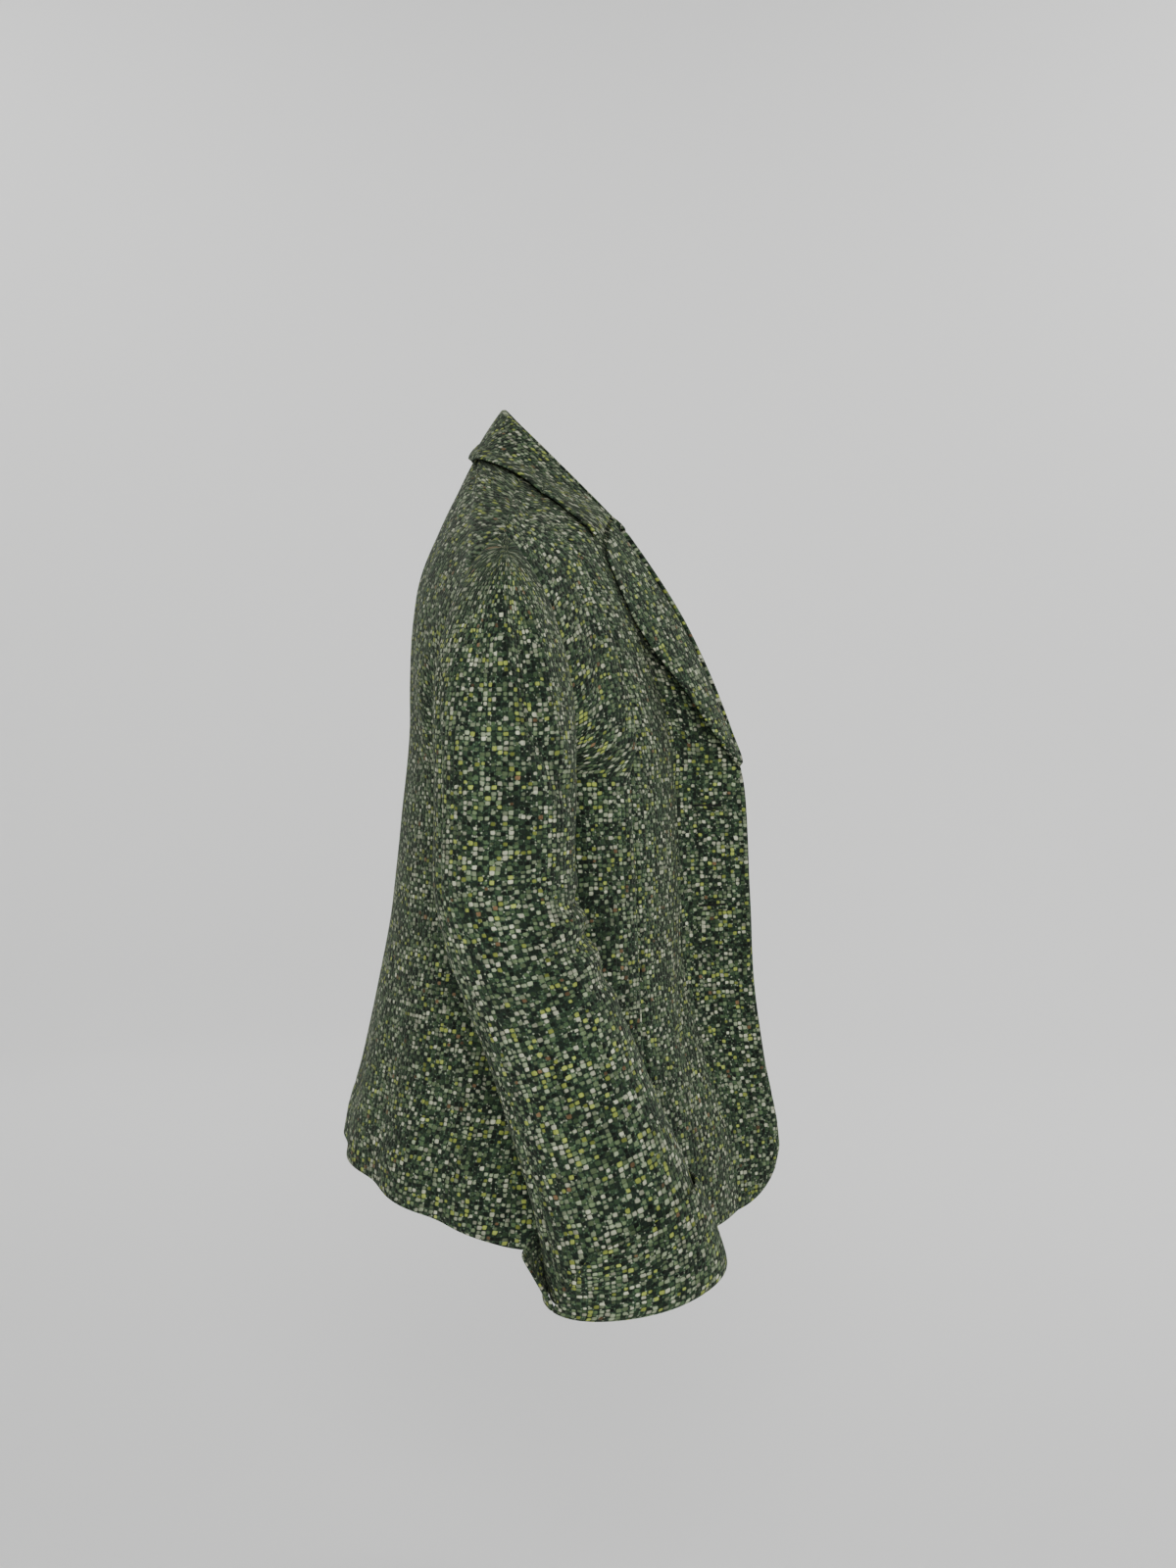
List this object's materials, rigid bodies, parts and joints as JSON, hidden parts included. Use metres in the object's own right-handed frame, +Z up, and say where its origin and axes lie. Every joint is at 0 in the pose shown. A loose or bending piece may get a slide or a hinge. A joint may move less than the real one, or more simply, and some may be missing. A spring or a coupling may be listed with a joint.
{
  "type": "tweed hacking jacket",
  "caption": "Short swing-back tweed jacket, hollow and open as worn unfastened, with notched collar, bent set-in sleeves and split turned-back cuffs",
  "frame": {"origin": "the middle of the neck opening, level with the two points where the shoulder seams meet the collar, where the wearer's neck and shoulders hold the jacket up", "axes": "+Z up; the wearer faces -Y; the wearer's right side is -X; X = 0 is the plane of symmetry"},
  "size_m": [0.5788, 0.3516, 0.6287],
  "materials": {
    "tweed": "coarse nubby wool tweed, bottle green with cream, mint and lime flecks",
    "horn": "dark horn-like button, softly polished"
  },
  "bodies": {
    "root": {"front_right": "tweed", "front_left": "tweed", "side_front_right": "tweed", "side_front_left": "tweed", "back_right": "tweed", "back_left": "tweed", "lapel_right": "tweed", "lapel_left": "tweed", "collar_stand": "tweed", "collar_fall": "tweed", "sleeve_upper_right": "tweed", "sleeve_upper_left": "tweed", "sleeve_under_right": "tweed", "sleeve_under_left": "tweed", "cuff_right": "tweed", "cuff_left": "tweed", "lip_upper_top": "tweed", "lip_upper_bottom": "tweed", "lip_lower_top": "tweed", "lip_lower_bottom": "tweed", "button_upper": "horn", "button_lower": "horn"}
  },
  "joints": []
}
